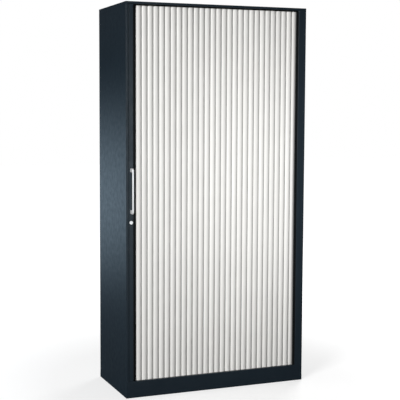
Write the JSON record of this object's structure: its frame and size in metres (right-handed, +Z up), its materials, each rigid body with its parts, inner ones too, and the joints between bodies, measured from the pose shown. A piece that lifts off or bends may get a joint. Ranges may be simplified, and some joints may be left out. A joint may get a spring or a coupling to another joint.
{
  "type": "tambour cupboard",
  "caption": "Tall steel cupboard closed by a sliding tambour of upright slats on a lockable handle rail, with slotted uprights, shelves and levelling feet.",
  "frame": {"origin": "on the floor, under the middle of the box that holds the carcass and the bow handle", "axes": "+Z up, the front with the curtain faces -Y, +X to the right of someone who faces the front"},
  "size_m": [1, 0.466, 1.98],
  "materials": {
    "carcass_paint": "satin powder coat",
    "interior_paint": "satin powder coat",
    "rail_paint": "satin powder coat",
    "slat_plastic": "satin moulded plastic",
    "black_plastic": "matte",
    "bright_metal": "satin nickel",
    "zinc_steel": "zinc plated",
    "foot_steel": "zinc plated",
    "rubber": "matte"
  },
  "bodies": {
    "carcass": {"access_plugs": "black_plastic", "base_frame": "carcass_paint", "base_shelf": "interior_paint", "bottom_track": "black_plastic", "ceiling_liner": "interior_paint", "floor_panel": "interior_paint", "foot_nuts": "zinc_steel", "front_apron": "carcass_paint", "left_liner": "interior_paint", "left_side_panel": "carcass_paint", "rail_buffers": "rubber", "rear_liner": "interior_paint", "rear_panel": "carcass_paint", "right_liner": "interior_paint", "right_side_panel": "carcass_paint", "shelf_1": "interior_paint", "shelf_2": "interior_paint", "shelf_3": "interior_paint", "shelf_4": "interior_paint", "shelf_clips": "zinc_steel", "stile_edge_profile": "black_plastic", "strike_plate": "zinc_steel", "top_panel": "carcass_paint", "top_track": "black_plastic", "track_stops": "black_plastic", "upright_front_left": "zinc_steel", "upright_front_right": "zinc_steel", "upright_rear_left": "zinc_steel", "upright_rear_right": "zinc_steel"},
    "shutter": {"handle_rail": "rail_paint", "rail_end_caps": "rail_paint", "guide_shoes": "black_plastic", "rail_connector": "black_plastic", "bow_handle": "bright_metal", "handle_screws": "zinc_steel", "lock_body": "bright_metal", "tambour_slats": "slat_plastic"},
    "lock": {"lock_barrel": "bright_metal", "lock_cam": "zinc_steel", "cam_screw": "zinc_steel"},
    "foot_front_left": {"foot_front_left": "foot_steel"},
    "foot_rear_left": {"foot_rear_left": "foot_steel"},
    "foot_front_right": {"foot_front_right": "foot_steel"},
    "foot_rear_right": {"foot_rear_right": "foot_steel"}
  },
  "joints": [
    {"name": "shutter_slide", "type": "slide", "parent": "carcass", "child": "shutter", "axis": [1, 0, 0], "range_m": [0, 0.88], "deforming": ["tambour_slats"]},
    {"name": "lock_turn", "type": "hinge", "parent": "shutter", "child": "lock", "pos_m": [-0.47325, -0.19, 0.891], "axis": [0, -1, 0], "range_deg": [0, 90]},
    {"name": "foot_front_left_screw", "type": "slide", "parent": "carcass", "child": "foot_front_left", "axis": [0, 0, -1], "range_m": [0, 0.015]},
    {"name": "foot_rear_left_screw", "type": "slide", "parent": "carcass", "child": "foot_rear_left", "axis": [0, 0, -1], "range_m": [0, 0.015]},
    {"name": "foot_front_right_screw", "type": "slide", "parent": "carcass", "child": "foot_front_right", "axis": [0, 0, -1], "range_m": [0, 0.015]},
    {"name": "foot_rear_right_screw", "type": "slide", "parent": "carcass", "child": "foot_rear_right", "axis": [0, 0, -1], "range_m": [0, 0.015]}
  ]
}
